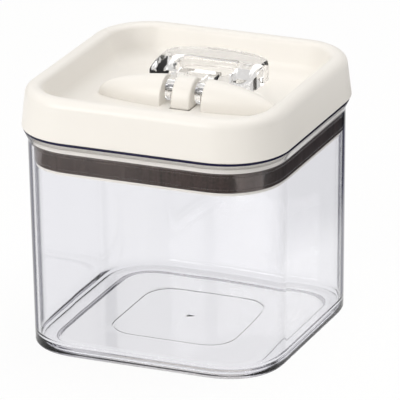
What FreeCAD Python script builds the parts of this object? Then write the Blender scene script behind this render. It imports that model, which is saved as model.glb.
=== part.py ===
import FreeCAD, Part
import os
import Sketcher

# Square clear canister with a dished lid. A lever in the dish turns about a pin in the
# head of a pull rod. Its round cams stand on the dish floor, so laying the lever down
# draws the rod and the bottom plate up and squeezes the seal ring against the wall.
# Z is up, the foot of the canister stands on Z = 0, and the lever lies towards +Y.

doc = FreeCAD.newDocument("canister")
dims = doc.addObject("Spreadsheet::Sheet", "Dims")

SIZES = [
    # canister
    ("base_half", 54.66), ("base_corner", 24.1), ("neck_z", 89.8), ("neck_lean", 1.19),
    ("lip_rise", 4.6), ("lip_flare", 1.75), ("wall", 2.2), ("base_thick", 3.2),
    ("base_round", 3.0), ("inner_round", 6.0), ("foot_inset", 7.66), ("foot_corner", 18.0),
    ("foot_depth", 1.6), ("foot_round", 1.4), ("mark_half", 27.0), ("mark_corner", 9.0),
    ("mark_depth", 0.3), ("gate_round", 1.9), ("gate_depth", 0.5), ("rim_round", 0.5),
    ("neck_round", 6.0),
    # lid shell
    ("lid_over", 0.4), ("lid_corner", 26.2), ("lid_height", 17.4), ("lid_lean", 2.0),
    ("lid_round", 3.9), ("lid_edge_round", 0.5), ("rim_wide", 8.5), ("crest_round", 2.6),
    ("floor_thick", 2.6), ("dish_draft", 4.0), ("dish_round", 7.5), ("skin", 2.3),
    ("ridge_end", 5.5), ("ridge_deep", 8.9), ("ridge_tall", 11.6), ("core_wall", 2.5),
    ("core_long", 13.4), ("core_side", 4.6), ("core_tall", 5.6),
    ("rim_soft", 0.5), ("boss_round", 2.8), ("boss_off", 2.4), ("boss_tall", 8.0),
    # liner under the lid
    ("liner_gap", 0.55), ("liner_depth", 5.5), ("liner_top", 2.4), ("liner_wall", 9.1),
    ("groove_low", 2.2), ("groove_tall", 0.8), ("groove_deep", 0.8), ("spigot_deep", 2.2),
    ("spigot_wide", 1.8), ("hub_round", 7.5), ("hub_drop", 3.0),
    # seal ring and bottom plate
    ("seal_tall", 8.6), ("seal_wide", 5.0), ("seal_round", 0.9), ("plate_thick", 1.1),
    ("plate_hub", 8.0), ("plate_hub_tall", 4.8), ("plate_ring_tall", 2.6), ("rib_thick", 1.6),
    ("recess_round", 4.6), ("hub_web", 2.0), ("plug_thick", 1.0),
    # pull rod, pin and lever
    ("tongue_half", 4.2), ("head_below", 0.3), ("stem_round", 4.0), ("pin_round", 1.5),
    ("pin_above", 5.6), ("cam_off", 1.0), ("cam_lift", 2.0), ("cam_gap", 0.06),
    ("arm_wide", 4.3), ("arm_rise", 4.0), ("grip_half", 23.2), ("grip_gap", 0.9),
    ("front_bar", 5.2), ("side_bar", 10.4), ("back_bar", 15.0), ("window_long", 11.0),
    ("window_corner", 3.5), ("grip_arc", 46.0), ("grip_corner", 9.0), ("grip_toe", 5.0),
    ("grip_low", 2.9), ("grip_tall", 8.1), ("grip_skin", 2.2), ("grip_round", 1.6),
    ("roof_arc", 34.8),
    # screws
    ("screw_round", 1.5), ("screw_head", 2.3), ("screw_head_tall", 1.7),
    ("plate_screw_head", 2.9), ("plate_screw_long", 10.0), ("socket_round", 1.2),
    # fits
    ("clear_gap", 0.3), ("run_gap", 0.05), ("press_gap", 0.02), ("deep_gap", 0.4),
]

# sizes that follow from the ones above
FOLLOWING = [
    ("neck_half", "base_half + neck_lean"),
    ("rim_z", "neck_z + lip_rise"),
    ("lip_half", "neck_half + lip_flare"),
    ("lid_half", "lip_half + lid_over"),
    ("foot_half", "base_half - foot_inset"),
    ("foot_flat", "foot_half - foot_corner"),
    ("mark_flat", "mark_half - mark_corner"),
    ("crest_half", "lid_half - rim_wide"),
    ("dish_depth", "lid_height - floor_thick"),
    ("ridge_long", "crest_half - dish_draft - ridge_end"),
    ("slot_half", "tongue_half + arm_wide + 2 * clear_gap"),
    ("core_near", "slot_half + core_wall"),
    ("core_far", "core_near + core_long"),
    ("boss_at", "crest_half - dish_draft + skin + boss_off"),
    ("liner_inner", "neck_half - wall - liner_gap - liner_wall"),
    ("recess_deep", "plate_hub_tall - hub_web"),
    ("cam_round", "pin_above - cam_off"),
    ("grip_front", "ridge_deep + grip_gap"),
    ("window_front", "grip_front + front_bar"),
    ("window_back", "window_front + window_long"),
    ("grip_back", "window_back + back_bar"),
    ("window_half", "grip_half - side_bar"),
]

row = 0
for alias, value in SIZES:
    row += 1
    dims.set("A%d" % row, alias)
    dims.set("B%d" % row, str(value))
    dims.setAlias("B%d" % row, alias)
for alias, text in FOLLOWING:
    row += 1
    dims.set("A%d" % row, alias)
    dims.set("B%d" % row, "=" + text)
    dims.setAlias("B%d" % row, alias)
doc.recompute()

NAMES = {alias for alias, value in SIZES + FOLLOWING}


def bind(text):
    """Expression text with every size name led back to the sheet."""
    words = []
    word = ""
    for letter in text + " ":
        if letter.isalnum() or letter in "_.":
            word += letter
            continue
        words.append("Dims." + word if word in NAMES else word)
        words.append(letter)
        word = ""
    return "".join(words).strip()


def number(text):
    """Present value of an expression, for the first layout of a sketch."""
    return float(dims.evalExpression(bind(text)))


# shared levels and outlines
RIM = "rim_z"
LID_TOP = "(rim_z + lid_height)"
FLOOR = "(rim_z + lid_height - dish_depth)"
SEAL_TOP = "(rim_z - liner_depth)"
SEAL_LOW = "(rim_z - liner_depth - seal_tall)"
PLATE_LOW = "(rim_z - liner_depth - seal_tall - plate_thick)"
PIN_Z = "(rim_z + lid_height - dish_depth + pin_above)"
BODY_FLAT = "(base_half - base_corner)"
LID_FLAT = "(lid_half - lid_corner)"
INNER_NECK = "(neck_half - wall)"
SEAL_HALF = ("(base_half - wall + (neck_half - base_half)"
             " * (rim_z - liner_depth - seal_tall) / neck_z - clear_gap)")
LINER_HALF = "(neck_half - wall - liner_gap)"


def plane(body, role):
    return [item for item in body.Origin.OriginFeatures if item.Role == role][0]


def new_sketch(body, name, role, level):
    sketch = body.newObject("Sketcher::SketchObject", name)
    sketch.AttachmentSupport = [(plane(body, role), "")]
    sketch.MapMode = "FlatFace"
    if level is not None:
        sketch.setExpression(".AttachmentOffset.Base.z", bind(level))
    return sketch


def drive(sketch, kind, items, text):
    """Add one driving constraint whose value follows an expression."""
    index = sketch.addConstraint(Sketcher.Constraint(kind, *items, number(text)))
    sketch.setExpression("Constraints[%d]" % index, bind(text))


def add_rounded(sketch, left, right, low, high, corner):
    """Closed rectangle with four equal round corners."""
    x0, x1, y0, y1, r = (number(text) for text in (left, right, low, high, corner))
    vec = FreeCAD.Vector
    up = vec(0, 0, 1)
    quarter = 1.5707963267948966
    first = sketch.GeometryCount

    def line(ax, ay, bx, by):
        return sketch.addGeometry(Part.LineSegment(vec(ax, ay, 0), vec(bx, by, 0)), False)

    def arc(cx, cy, turn):
        circle = Part.Circle(vec(cx, cy, 0), up, r)
        return sketch.addGeometry(
            Part.ArcOfCircle(circle, turn * quarter, (turn + 1) * quarter), False)

    line(x0 + r, y0, x1 - r, y0)
    arc(x1 - r, y0 + r, 3)
    line(x1, y0 + r, x1, y1 - r)
    arc(x1 - r, y1 - r, 0)
    line(x1 - r, y1, x0 + r, y1)
    arc(x0 + r, y1 - r, 1)
    line(x0, y1 - r, x0, y0 + r)
    arc(x0 + r, y0 + r, 2)
    for k in range(8):
        here = first + k
        there = first + (k + 1) % 8
        sketch.addConstraint(Sketcher.Constraint("Tangent", here, 2, there, 1))
    for k in (0, 4):
        sketch.addConstraint(Sketcher.Constraint("Horizontal", first + k))
    for k in (2, 6):
        sketch.addConstraint(Sketcher.Constraint("Vertical", first + k))
    for k in (3, 5, 7):
        sketch.addConstraint(Sketcher.Constraint("Equal", first + 1, first + k))
    drive(sketch, "Radius", (first + 1,), corner)
    drive(sketch, "DistanceX", (-1, 1, first + 2, 1), right)
    drive(sketch, "DistanceX", (-1, 1, first + 6, 1), left)
    drive(sketch, "DistanceY", (-1, 1, first + 0, 1), low)
    drive(sketch, "DistanceY", (-1, 1, first + 4, 1), high)


def add_square(sketch, half, flat):
    corner = "(%s) - (%s)" % (half, flat)
    add_rounded(sketch, "-(%s)" % half, half, "-(%s)" % half, half, corner)


def add_box(sketch, left, right, low, high):
    """Closed rectangle with sharp corners."""
    x0, x1, y0, y1 = (number(text) for text in (left, right, low, high))
    vec = FreeCAD.Vector
    first = sketch.GeometryCount
    spots = [(x0, y0), (x1, y0), (x1, y1), (x0, y1)]
    for k in range(4):
        ax, ay = spots[k]
        bx, by = spots[(k + 1) % 4]
        sketch.addGeometry(Part.LineSegment(vec(ax, ay, 0), vec(bx, by, 0)), False)
    for k in range(4):
        here = first + k
        there = first + (k + 1) % 4
        sketch.addConstraint(Sketcher.Constraint("Coincident", here, 2, there, 1))
    for k in (0, 2):
        sketch.addConstraint(Sketcher.Constraint("Horizontal", first + k))
        sketch.addConstraint(Sketcher.Constraint("Vertical", first + k + 1))
    drive(sketch, "DistanceX", (-1, 1, first + 1, 1), right)
    drive(sketch, "DistanceX", (-1, 1, first + 3, 1), left)
    drive(sketch, "DistanceY", (-1, 1, first + 0, 1), low)
    drive(sketch, "DistanceY", (-1, 1, first + 2, 1), high)


def add_circle(sketch, radius, across=None, along=None):
    """Circle centred on the sketch axes where no offset is given."""
    cx = number(across) if across else 0.0
    cy = number(along) if along else 0.0
    circle = Part.Circle(FreeCAD.Vector(cx, cy, 0), FreeCAD.Vector(0, 0, 1), number(radius))
    index = sketch.addGeometry(circle, False)
    drive(sketch, "Radius", (index,), radius)
    if across:
        drive(sketch, "DistanceX", (-1, 1, index, 3), across)
    else:
        sketch.addConstraint(Sketcher.Constraint("PointOnObject", index, 3, -2))
    if along:
        drive(sketch, "DistanceY", (-1, 1, index, 3), along)
    else:
        sketch.addConstraint(Sketcher.Constraint("PointOnObject", index, 3, -1))


def square_sketch(body, name, level, *outlines):
    sketch = new_sketch(body, name, "XY_Plane", level)
    for half, flat in outlines:
        add_square(sketch, half, flat)
    return sketch


def new_body(label):
    body = doc.addObject("PartDesign::Body", label)
    body.Label = label
    return body


def pad(body, name, sketch, length, back=False):
    feature = body.newObject("PartDesign::Pad", name)
    feature.Profile = sketch
    feature.setExpression("Length", bind(length))
    feature.Reversed = back
    doc.recompute()
    return feature


def pocket(body, name, sketch, length, up=False):
    feature = body.newObject("PartDesign::Pocket", name)
    feature.Profile = sketch
    feature.setExpression("Length", bind(length))
    feature.Reversed = up
    doc.recompute()
    return feature


def loft(body, kind, name, sketches):
    feature = body.newObject("PartDesign::" + kind, name)
    feature.Profile = sketches[0]
    feature.Sections = sketches[1:]
    feature.Ruled = True
    doc.recompute()
    return feature


def edges_where(feature, test):
    """Names of the edges whose middle point passes the test."""
    names = []
    for index, edge in enumerate(feature.Shape.Edges, start=1):
        middle = edge.valueAt((edge.FirstParameter + edge.LastParameter) / 2.0)
        box = edge.BoundBox
        if test(middle, box):
            names.append("Edge%d" % index)
    return names


def fillet(body, name, feature, radius, test):
    names = edges_where(feature, test)
    if not names:
        raise RuntimeError("no edges found for " + name)
    rounded = body.newObject("PartDesign::Fillet", name)
    rounded.Base = (feature, names)
    rounded.setExpression("Radius", bind(radius))
    doc.recompute()
    return rounded


def level_edge(z, tol=0.02):
    """Test for edges that lie wholly at one height."""
    return lambda middle, box: abs(box.ZMin - z) < tol and abs(box.ZMax - z) < tol


# canister
canister = new_body("canister_body")
shell_parts = [
    square_sketch(canister, "can_foot", "0 * wall", ("base_half", BODY_FLAT)),
    square_sketch(canister, "can_neck", "neck_z", ("neck_half", BODY_FLAT)),
    square_sketch(canister, "can_lip", RIM, ("lip_half", BODY_FLAT)),
]
can_out = loft(canister, "AdditiveLoft", "can_outside", shell_parts)
INNER_LOW = "(base_half - wall + (neck_half - base_half) * base_thick / neck_z)"
INNER_TOP = "(neck_half - wall + (neck_half - base_half) * (rim_z - neck_z) / neck_z)"
hollow_parts = [
    square_sketch(canister, "can_floor", "base_thick", (INNER_LOW, BODY_FLAT)),
    square_sketch(canister, "can_mouth", RIM, (INNER_TOP, BODY_FLAT)),
]
can_in = loft(canister, "SubtractiveLoft", "can_inside", hollow_parts)
can_neck = fillet(canister, "can_neck_round", can_in, "neck_round", level_edge(number("neck_z")))
can_round = fillet(canister, "can_base_round", can_neck, "base_round", level_edge(0.0))
floor_test = level_edge(number("base_thick"))
can_in_round = fillet(canister, "can_inner_round", can_round, "inner_round", floor_test)
rim_test = level_edge(number(RIM))
can_rim = fillet(canister, "can_rim_round", can_in_round, "rim_round", rim_test)
foot = square_sketch(canister, "can_foot_recess", "0 * wall", ("foot_half", "foot_flat"))
can_foot = pocket(canister, "can_foot_pocket", foot, "foot_depth", True)
can_foot_round = fillet(canister, "can_foot_round", can_foot, "foot_round",
                        level_edge(number("foot_depth")))
mark = square_sketch(canister, "can_mark", "foot_depth", ("mark_half", "mark_flat"))
can_mark = pocket(canister, "can_mark_pocket", mark, "mark_depth", True)
gate_mark = new_sketch(canister, "can_gate", "XY_Plane", "foot_depth + mark_depth")
add_circle(gate_mark, "gate_round")
can_gate = pocket(canister, "can_gate_dimple", gate_mark, "gate_depth", True)

# lid shell
lid = new_body("lid_shell")
LEAN_HALF = "(lid_half - lid_lean)"
lid_parts = [
    square_sketch(lid, "lid_edge", RIM, ("lid_half", LID_FLAT)),
    square_sketch(lid, "lid_crown", LID_TOP, (LEAN_HALF, LID_FLAT)),
]
lid_out = loft(lid, "AdditiveLoft", "lid_outside", lid_parts)
DISH_HALF = "(crest_half - dish_draft)"
dish_parts = [
    square_sketch(lid, "dish_floor", FLOOR, (DISH_HALF, LID_FLAT)),
    square_sketch(lid, "dish_crest", LID_TOP, ("crest_half", LID_FLAT)),
]
dish = loft(lid, "SubtractiveLoft", "lid_dish", dish_parts)
floor_z = number(FLOOR)
top_z = number(LID_TOP)
dish_limit = number("crest_half") + 0.2


def dish_crest_edge(middle, box):
    inside = max(abs(middle.x), abs(middle.y)) < dish_limit
    return inside and level_edge(top_z)(middle, box)


def lid_crown_edge(middle, box):
    inside = max(abs(middle.x), abs(middle.y)) < dish_limit
    return not inside and level_edge(top_z)(middle, box)


lid_top_round = fillet(lid, "lid_top_round", dish, "lid_round", lid_crown_edge)
lid_edge_round = fillet(lid, "lid_low_round", lid_top_round, "lid_edge_round",
                        level_edge(number(RIM)))
dish_floor_round = fillet(lid, "dish_floor_round", lid_edge_round, "dish_round",
                          level_edge(floor_z))
dish_crest_round = fillet(lid, "dish_crest_round", dish_floor_round, "crest_round",
                          dish_crest_edge)

# hollow between the outer skirt and the dish wall, open below
CAVE_TOP = "(rim_z + lid_height - lid_round - 1.2)"
CAVE_RISE = "(lid_height - lid_round - 1.2)"
cave_parts = [
    square_sketch(lid, "cave_low", RIM,
                  ("lid_half - skin", LID_FLAT),
                  ("crest_half - dish_draft + skin", LID_FLAT)),
    square_sketch(lid, "cave_high", CAVE_TOP,
                  ("lid_half - skin - lid_lean * %s / lid_height" % CAVE_RISE, LID_FLAT),
                  ("crest_half + skin - dish_draft * lid_round / dish_depth", LID_FLAT)),
]
cave = loft(lid, "SubtractiveLoft", "lid_cave", cave_parts)

# four screw bosses in that hollow, at the middle of each side
bosses = new_sketch(lid, "boss_plan", "XY_Plane", RIM)
PLACES = [("boss_at", None), (None, "boss_at"), ("-boss_at", None), (None, "-boss_at")]
for across, along in PLACES:
    add_circle(bosses, "boss_round", across, along)
boss_pad = pad(lid, "boss_pad", bosses, "boss_tall + 0.6")
holes = new_sketch(lid, "boss_holes", "XY_Plane", RIM)
for across, along in PLACES:
    add_circle(holes, "screw_round + run_gap", across, along)
boss_holes = pocket(lid, "boss_bores", holes, "boss_tall", True)

# domed ridge across the dish, parted by the lever slot
ridge = lid.newObject("PartDesign::AdditiveEllipsoid", "ridge")
ridge.setExpression("Radius1", bind("ridge_tall"))
ridge.setExpression("Radius2", bind("ridge_long"))
ridge.setExpression("Radius3", bind("ridge_deep"))
ridge.Angle1 = 0.0
ridge.Angle2 = 90.0
ridge.AttachmentSupport = [(plane(lid, "XY_Plane"), "")]
ridge.MapMode = "FlatFace"
ridge.setExpression(".AttachmentOffset.Base.z", bind(FLOOR + " - 0.01"))
doc.recompute()
slot_plan = new_sketch(lid, "slot_plan", "XY_Plane", FLOOR)
add_box(slot_plan, "-slot_half", "slot_half", "-(ridge_deep + 1)", "ridge_deep + 1")
slot = pocket(lid, "lever_slot", slot_plan, "ridge_tall + 1", True)


def slot_rim_edge(middle, box):
    at_side = abs(abs(middle.x) - number("slot_half")) < 0.01 and box.XLength < 0.01
    return at_side and middle.z > floor_z + 1.0


slot_rim = fillet(lid, "slot_rim", slot, "rim_soft", slot_rim_edge)
gate_plan = new_sketch(lid, "gate_plan", "XY_Plane", RIM)
add_box(gate_plan, "-(tongue_half + clear_gap)", "tongue_half + clear_gap",
        "-(ridge_deep + clear_gap)", "ridge_deep + clear_gap")
gate = pocket(lid, "rod_gate", gate_plan, "lid_height - dish_depth + 1", True)
core_plan = new_sketch(lid, "core_plan", "XY_Plane", RIM)
add_box(core_plan, "core_near", "core_far", "-core_side", "core_side")
add_box(core_plan, "-core_far", "-core_near", "-core_side", "core_side")
core = pocket(lid, "ridge_cores", core_plan, "core_tall", True)

# liner closing the lid from below and carrying the seal
liner = new_body("lid_liner")
liner_plan = square_sketch(liner, "liner_plan", SEAL_TOP, (LINER_HALF, BODY_FLAT))
liner_pad = pad(liner, "liner_block", liner_plan, "liner_depth")
hollow_plan = new_sketch(liner, "liner_hollow_plan", "XY_Plane", SEAL_TOP)
add_square(hollow_plan, "liner_inner", BODY_FLAT)
add_circle(hollow_plan, "hub_round")
liner_hollow = pocket(liner, "liner_hollow", hollow_plan, "liner_depth - liner_top", True)
groove_plan = square_sketch(liner, "groove_plan", SEAL_TOP + " + groove_low",
                            (LINER_HALF + " + 2", BODY_FLAT),
                            (LINER_HALF + " - groove_deep", BODY_FLAT))
groove = pocket(liner, "liner_groove", groove_plan, "groove_tall", True)
SEAL_IN = "(%s - seal_wide)" % SEAL_HALF
spigot_plan = square_sketch(liner, "spigot_plan", SEAL_TOP,
                            (SEAL_IN + " - clear_gap", BODY_FLAT),
                            (SEAL_IN + " - clear_gap - spigot_wide", BODY_FLAT))
spigot = pad(liner, "liner_spigot", spigot_plan, "spigot_deep", True)
hub_plan = new_sketch(liner, "hub_plan", "XY_Plane", SEAL_TOP)
add_circle(hub_plan, "hub_round")
hub = pad(liner, "liner_hub", hub_plan, "hub_drop", True)
bore_plan = new_sketch(liner, "bore_plan", "XY_Plane", SEAL_TOP + " - hub_drop - 1")
add_circle(bore_plan, "stem_round + run_gap")
bore = pocket(liner, "liner_bore", bore_plan, "liner_depth + hub_drop + 2", True)
sink_plan = new_sketch(liner, "sink_plan", "XY_Plane", SEAL_TOP)
for across, along in PLACES:
    add_circle(sink_plan, "screw_head + clear_gap", across, along)
sink = pocket(liner, "liner_sinks", sink_plan, "screw_head_tall + clear_gap", True)
pass_plan = new_sketch(liner, "pass_plan", "XY_Plane", SEAL_TOP)
for across, along in PLACES:
    add_circle(pass_plan, "screw_round + run_gap", across, along)
passing = pocket(liner, "liner_holes", pass_plan, "liner_depth + 1", True)

# seal ring, drawn squeezed, just clear of the wall
seal = new_body("seal_ring")
seal_plan = square_sketch(seal, "seal_plan", SEAL_LOW,
                          (SEAL_HALF, BODY_FLAT), (SEAL_IN, BODY_FLAT))
seal_pad = pad(seal, "seal_block", seal_plan, "seal_tall")
seal_side = number(SEAL_HALF) - 0.05
seal_low = number(SEAL_LOW)
seal_top = number(SEAL_TOP)


def seal_outer_edge(middle, box):
    reach = max(abs(middle.x), abs(middle.y))
    around = (middle.x ** 2 + middle.y ** 2) ** 0.5
    flat = number(BODY_FLAT)
    bend = ((abs(middle.x) - flat) ** 2 + (abs(middle.y) - flat) ** 2) ** 0.5 + flat
    outer = reach > seal_side or (around > seal_side and bend > seal_side)
    level = level_edge(seal_low)(middle, box) or level_edge(seal_top)(middle, box)
    return outer and level


seal_round = fillet(seal, "seal_edges", seal_pad, "seal_round", seal_outer_edge)

# bottom plate
plate = new_body("bottom_plate")
plate_plan = square_sketch(plate, "plate_plan", PLATE_LOW, (SEAL_HALF + " - clear_gap", BODY_FLAT))
plate_pad = pad(plate, "plate_sheet", plate_plan, "plate_thick")
ring_plan = square_sketch(plate, "ring_plan", SEAL_LOW,
                          (SEAL_IN + " - clear_gap", BODY_FLAT),
                          (SEAL_IN + " - clear_gap - spigot_wide", BODY_FLAT))
ring = pad(plate, "plate_ring", ring_plan, "plate_ring_tall")
cup_plan = new_sketch(plate, "cup_plan", "XY_Plane", PLATE_LOW)
add_circle(cup_plan, "plate_hub")
cup = pad(plate, "plate_hub_pad", cup_plan, "plate_hub_tall")
rib_plan = new_sketch(plate, "rib_plan", "XY_Plane", SEAL_LOW)
add_box(rib_plan, "-(%s - clear_gap - 0.5)" % SEAL_IN, "%s - clear_gap - 0.5" % SEAL_IN,
        "-rib_thick / 2", "rib_thick / 2")
rib = pad(plate, "plate_rib", rib_plan, "plate_ring_tall - 0.6")
cross_plan = new_sketch(plate, "cross_plan", "XY_Plane", SEAL_LOW)
add_box(cross_plan, "-rib_thick / 2", "rib_thick / 2",
        "-(%s - clear_gap - 0.5)" % SEAL_IN, "%s - clear_gap - 0.5" % SEAL_IN)
cross = pad(plate, "plate_cross_rib", cross_plan, "plate_ring_tall - 0.6")
cup_hole_plan = new_sketch(plate, "cup_hole_plan", "XY_Plane", PLATE_LOW)
add_circle(cup_hole_plan, "recess_round")
cup_hole = pocket(plate, "plate_recess", cup_hole_plan, "recess_deep", True)
plate_bore_plan = new_sketch(plate, "plate_bore_plan", "XY_Plane", PLATE_LOW)
add_circle(plate_bore_plan, "screw_round + run_gap")
plate_bore = pocket(plate, "plate_bore", plate_bore_plan, "plate_hub_tall + 1", True)


# plain round and block solids for the pull rod, pin and screws
def cylinder(name, radius, height, x=None, y=None, z=None, along_x=False):
    item = doc.addObject("Part::Cylinder", name)
    item.setExpression("Radius", bind(radius))
    item.setExpression("Height", bind(height))
    if along_x:
        item.Placement = FreeCAD.Placement(
            FreeCAD.Vector(0, 0, 0), FreeCAD.Rotation(FreeCAD.Vector(0, 1, 0), 90))
    for letter, text in (("x", x), ("y", y), ("z", z)):
        if text:
            item.setExpression(".Placement.Base." + letter, bind(text))
    return item


def prism(name, radius, height, x=None, y=None, z=None):
    item = doc.addObject("Part::Prism", name)
    item.Polygon = 6
    item.setExpression("Circumradius", bind(radius))
    item.setExpression("Height", bind(height))
    for letter, text in (("x", x), ("y", y), ("z", z)):
        if text:
            item.setExpression(".Placement.Base." + letter, bind(text))
    return item


def fuse(name, items):
    joined = doc.addObject("Part::MultiFuse", name)
    joined.Shapes = items
    joined.Refine = True
    return joined


def cut(name, base, tool):
    less = doc.addObject("Part::Cut", name)
    less.Base = base
    less.Tool = tool
    less.Refine = True
    return less


# pull rod: a slice of the ridge's dome on a round stem
STEM_LOW = "(%s + plate_hub_tall)" % PLATE_LOW
dome = doc.addObject("Part::Ellipsoid", "head_dome")
dome.setExpression("Radius1", bind("ridge_tall"))
dome.setExpression("Radius2", bind("ridge_long"))
dome.setExpression("Radius3", bind("ridge_deep"))
dome.Angle1 = 0.0
dome.Angle2 = 90.0
dome.setExpression(".Placement.Base.z", bind(FLOOR))
slab = doc.addObject("Part::Box", "head_slab")
slab.setExpression("Length", bind("2 * tongue_half"))
slab.setExpression("Width", bind("2 * ridge_deep + 2"))
slab.setExpression("Height", bind("ridge_tall + 1"))
slab.setExpression(".Placement.Base.x", bind("-tongue_half"))
slab.setExpression(".Placement.Base.y", bind("-ridge_deep - 1"))
slab.setExpression(".Placement.Base.z", bind(FLOOR))
head = doc.addObject("Part::MultiCommon", "head_slice")
head.Shapes = [dome, slab]
toe = doc.addObject("Part::Box", "head_toe")
toe.setExpression("Length", bind("2 * tongue_half"))
toe.setExpression("Width", bind("2 * ridge_deep * 0.985"))
toe.setExpression("Height", bind("head_below"))
toe.setExpression(".Placement.Base.x", bind("-tongue_half"))
toe.setExpression(".Placement.Base.y", bind("-ridge_deep * 0.985"))
toe.setExpression(".Placement.Base.z", bind(FLOOR + " - head_below"))
stem = cylinder("rod_stem", "stem_round", FLOOR + " - " + STEM_LOW, z=STEM_LOW)
rod_block = fuse("rod_block", [head, toe, stem])
pin_way = cylinder("rod_pin_way", "pin_round + run_gap", "2 * tongue_half + 2",
                   x="-tongue_half - 1", z=PIN_Z, along_x=True)
rod_drilled = cut("rod_drilled", rod_block, pin_way)
rod_tap = cylinder("rod_tap", "screw_round + run_gap", "plate_screw_long", z=STEM_LOW)
rod = cut("pull_rod", rod_drilled, rod_tap)
rod.Label = "pull_rod"

# screw that holds the bottom plate on the stem, and the plug over it
CUP_TOP = "(%s + recess_deep)" % PLATE_LOW
ps_head = cylinder("plate_screw_cap", "plate_screw_head", "screw_head_tall",
                   z=CUP_TOP + " - screw_head_tall")
ps_shank = cylinder("plate_screw_shank", "screw_round",
                    "plate_hub_tall - recess_deep + plate_screw_long - deep_gap", z=CUP_TOP)
ps_block = fuse("plate_screw_block", [ps_head, ps_shank])
ps_key = prism("plate_screw_key", "socket_round", "screw_head_tall * 0.6",
               z=CUP_TOP + " - screw_head_tall")
plate_screw = cut("plate_screw", ps_block, ps_key)
plate_screw.Label = "plate_screw"
plug = cylinder("plug_disc", "recess_round - press_gap", "plug_thick", z=PLATE_LOW)
plug_notch = doc.addObject("Part::Box", "plug_notch")
plug_notch.setExpression("Length", bind("recess_round"))
plug_notch.setExpression("Width", bind("plug_thick * 0.8"))
plug_notch.setExpression("Height", bind("plug_thick * 0.4"))
plug_notch.setExpression(".Placement.Base.x", bind("-recess_round / 2"))
plug_notch.setExpression(".Placement.Base.y", bind("-plug_thick * 0.4"))
plug_notch.setExpression(".Placement.Base.z", bind(PLATE_LOW))
screw_plug = cut("screw_plug", plug, plug_notch)
screw_plug.Label = "screw_plug"

# four screws that hold the liner under the lid
SINK_TOP = "(%s + screw_head_tall + clear_gap)" % SEAL_TOP
screws = []
for index, (across, along) in enumerate(PLACES):
    tag = "liner_screw_%d" % index
    cap = cylinder(tag + "_cap", "screw_head", "screw_head_tall", across, along,
                   SINK_TOP + " - screw_head_tall")
    shank = cylinder(tag + "_shank", "screw_round",
                     "liner_depth - screw_head_tall - clear_gap + boss_tall - deep_gap",
                     across, along, SINK_TOP)
    block = fuse(tag + "_block", [cap, shank])
    key = prism(tag + "_key", "socket_round", "screw_head_tall * 0.6", across, along,
                SINK_TOP + " - screw_head_tall")
    screws.append(cut(tag, block, key))
liner_screws = doc.addObject("Part::Compound", "liner_screws")
liner_screws.Links = screws
liner_screws.Label = "liner_screws"

# hinge pin, through the lever's arms and the head of the rod
ARM_OUT = "(slot_half - clear_gap)"
pin_blank = cylinder("pin_blank", "pin_round", "2 * %s" % ARM_OUT, x="-" + ARM_OUT,
                     z=PIN_Z, along_x=True)
doc.recompute()
pin = doc.addObject("Part::Chamfer", "hinge_pin")
pin.Base = pin_blank
pin.Edges = [(1, 0.3, 0.3), (3, 0.3, 0.3)]
pin.Label = "hinge_pin"

# lever: D shaped grip with a finger window, two arms and round cams
lever = new_body("flip_handle")
GRIP_LOW = "(%s + grip_low)" % FLOOR


def add_grip(sketch, half, front, back, arc, corner, toe_round):
    """Closed D outline: straight front and sides, bowed back, four round corners."""
    w, f, b, big, c, t = (number(text) for text in (half, front, back, arc, corner, toe_round))
    vec = FreeCAD.Vector
    up = vec(0, 0, 1)
    mid = b - big
    cx = w - c
    cy = mid + ((big - c) ** 2 - cx ** 2) ** 0.5
    turn = FreeCAD.Vector(cx, cy - mid, 0)
    lean = turn.getAngle(vec(1, 0, 0))
    quarter = 1.5707963267948966

    def line(ax, ay, bx, by):
        sketch.addGeometry(Part.LineSegment(vec(ax, ay, 0), vec(bx, by, 0)), False)

    def bend(ox, oy, radius, start, end):
        circle = Part.Circle(vec(ox, oy, 0), up, radius)
        sketch.addGeometry(Part.ArcOfCircle(circle, start, end), False)

    first = sketch.GeometryCount
    line(-w + t, f, w - t, f)
    bend(w - t, f + t, t, 3 * quarter, 4 * quarter)
    line(w, f + t, w, cy)
    bend(cx, cy, c, 0.0, lean)
    bend(0, mid, big, lean, 2 * quarter - lean)
    bend(-cx, cy, c, 2 * quarter - lean, 2 * quarter)
    line(-w, cy, -w, f + t)
    bend(-w + t, f + t, t, 2 * quarter, 3 * quarter)
    for k in range(8):
        here = first + k
        there = first + (k + 1) % 8
        sketch.addConstraint(Sketcher.Constraint("Tangent", here, 2, there, 1))
    sketch.addConstraint(Sketcher.Constraint("Horizontal", first))
    sketch.addConstraint(Sketcher.Constraint("Vertical", first + 2))
    sketch.addConstraint(Sketcher.Constraint("Vertical", first + 6))
    sketch.addConstraint(Sketcher.Constraint("Equal", first + 1, first + 7))
    sketch.addConstraint(Sketcher.Constraint("Equal", first + 3, first + 5))
    sketch.addConstraint(Sketcher.Constraint("PointOnObject", first + 4, 3, -2))
    drive(sketch, "Radius", (first + 1,), toe_round)
    drive(sketch, "Radius", (first + 3,), corner)
    drive(sketch, "Radius", (first + 4,), arc)
    drive(sketch, "DistanceX", (-1, 1, first + 2, 1), half)
    drive(sketch, "DistanceX", (-1, 1, first + 6, 1), "-(%s)" % half)
    drive(sketch, "DistanceY", (-1, 1, first, 1), front)
    drive(sketch, "DistanceY", (-1, 1, first + 4, 3), "%s - (%s)" % (back, arc))


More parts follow.
